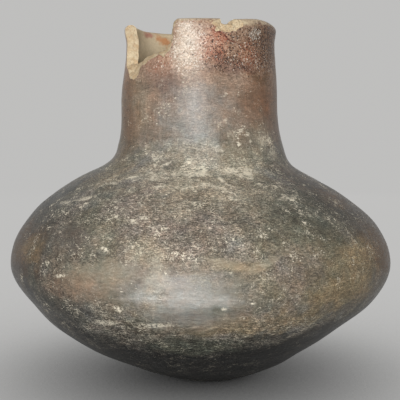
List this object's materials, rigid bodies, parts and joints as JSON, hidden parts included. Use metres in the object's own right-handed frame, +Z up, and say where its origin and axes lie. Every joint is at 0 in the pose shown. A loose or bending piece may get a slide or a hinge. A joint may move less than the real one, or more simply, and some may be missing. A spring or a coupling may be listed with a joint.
{
  "type": "pottery bottle",
  "caption": "Hand-built earthenware bottle with a wide low body, a tall open neck and a rim that has lost a sherd, built from a base pad and lapped coils.",
  "frame": {"origin": "on the resting face under the middle of the girth, at the bottom centre of the bottle's bounds", "axes": "+Z up through the neck, -Y out of the front that the picture shows, +X to the right of that front"},
  "size_m": [0.19, 0.19, 0.1754],
  "materials": {
    "sooty_clay": "burnished, fire-clouded dark grey earthenware",
    "burnished_clay": "burnished grey-brown earthenware with pale specks of temper",
    "neck_clay": "burnished brown earthenware",
    "worn_clay": "worn reddish earthenware, cream where it is broken"
  },
  "bodies": {
    "root": {"base_pad": "sooty_clay", "lower_wall_coil_1": "sooty_clay", "lower_wall_coil_2": "sooty_clay", "lower_wall_coil_3": "burnished_clay", "lower_wall_coil_4": "burnished_clay", "shoulder_coil_1": "burnished_clay", "shoulder_coil_2": "burnished_clay", "shoulder_coil_3": "burnished_clay", "neck_foot_coil": "neck_clay", "neck_coil_1": "neck_clay", "neck_coil_2": "neck_clay", "rim_coil": "worn_clay"}
  },
  "joints": []
}
